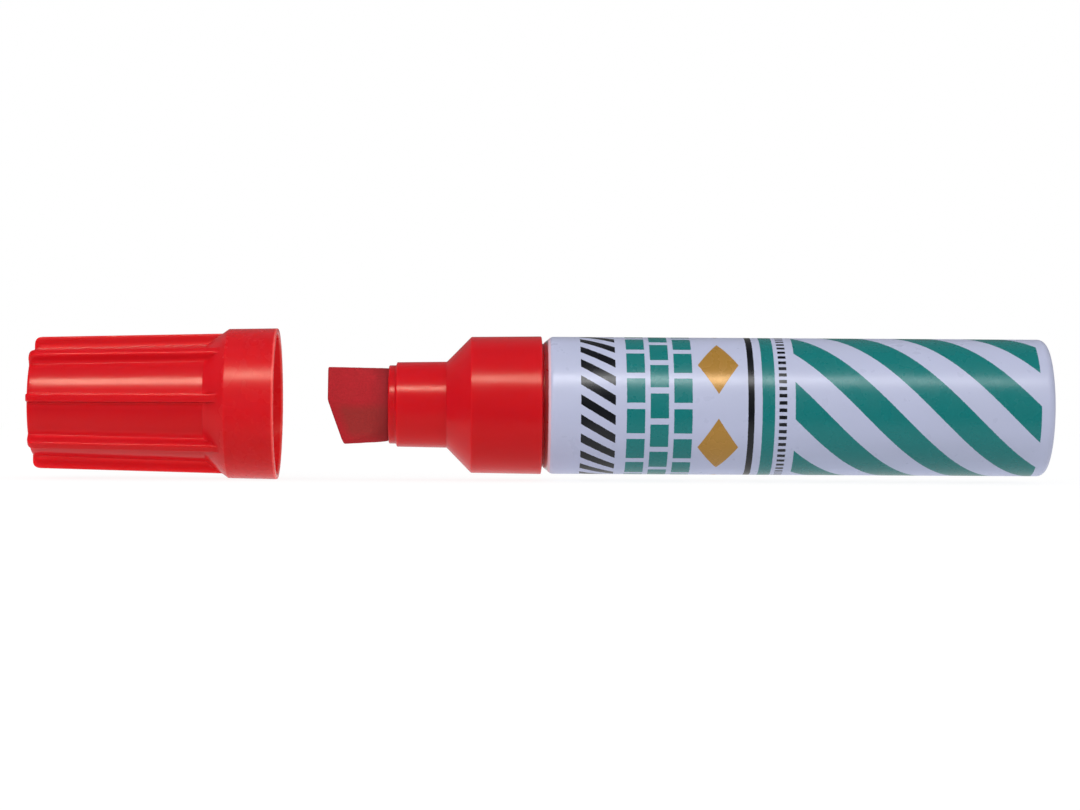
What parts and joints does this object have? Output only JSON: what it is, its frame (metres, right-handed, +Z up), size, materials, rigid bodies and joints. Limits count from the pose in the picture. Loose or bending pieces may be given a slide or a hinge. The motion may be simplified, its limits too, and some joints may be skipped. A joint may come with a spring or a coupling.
{
  "type": "permanent marker",
  "caption": "Jumbo permanent marker lying with its cap off: printed aluminium can, red nib holder, wide felt chisel nib, and a ribbed red cap that slides on along the axis.",
  "frame": {"origin": "middle of the whole object, on the marker's axis, with the cap off as in the picture", "axes": "+X along the marker's axis from the cap to the can's closed end, +Z up with the marker lying on its side, the nib's broad face towards -Y"},
  "size_m": [0.196, 0.0292, 0.0292],
  "materials": {
    "lacquered_can": "satin lavender-white lacquer with printed bars",
    "red_plastic": "glossy moulded polypropylene",
    "inked_felt": "dense felt soaked with red ink",
    "inked_fibre": "loose fibre rod soaked with red ink",
    "clear_film": "thin milky film",
    "white_plastic": "natural polyethylene"
  },
  "bodies": {
    "marker": {"barrel_can": "lacquered_can", "nib_holder": "red_plastic", "nib_retainer": "white_plastic", "chisel_nib": "inked_felt", "ink_reservoir": "inked_fibre", "reservoir_wrap": "clear_film"},
    "cap": {"cap_shell": "red_plastic", "inner_cap": "white_plastic"}
  },
  "joints": [
    {"name": "cap_slide", "type": "slide", "parent": "marker", "child": "cap", "axis": [1, 0, 0], "range_m": [0, 0.046]}
  ]
}
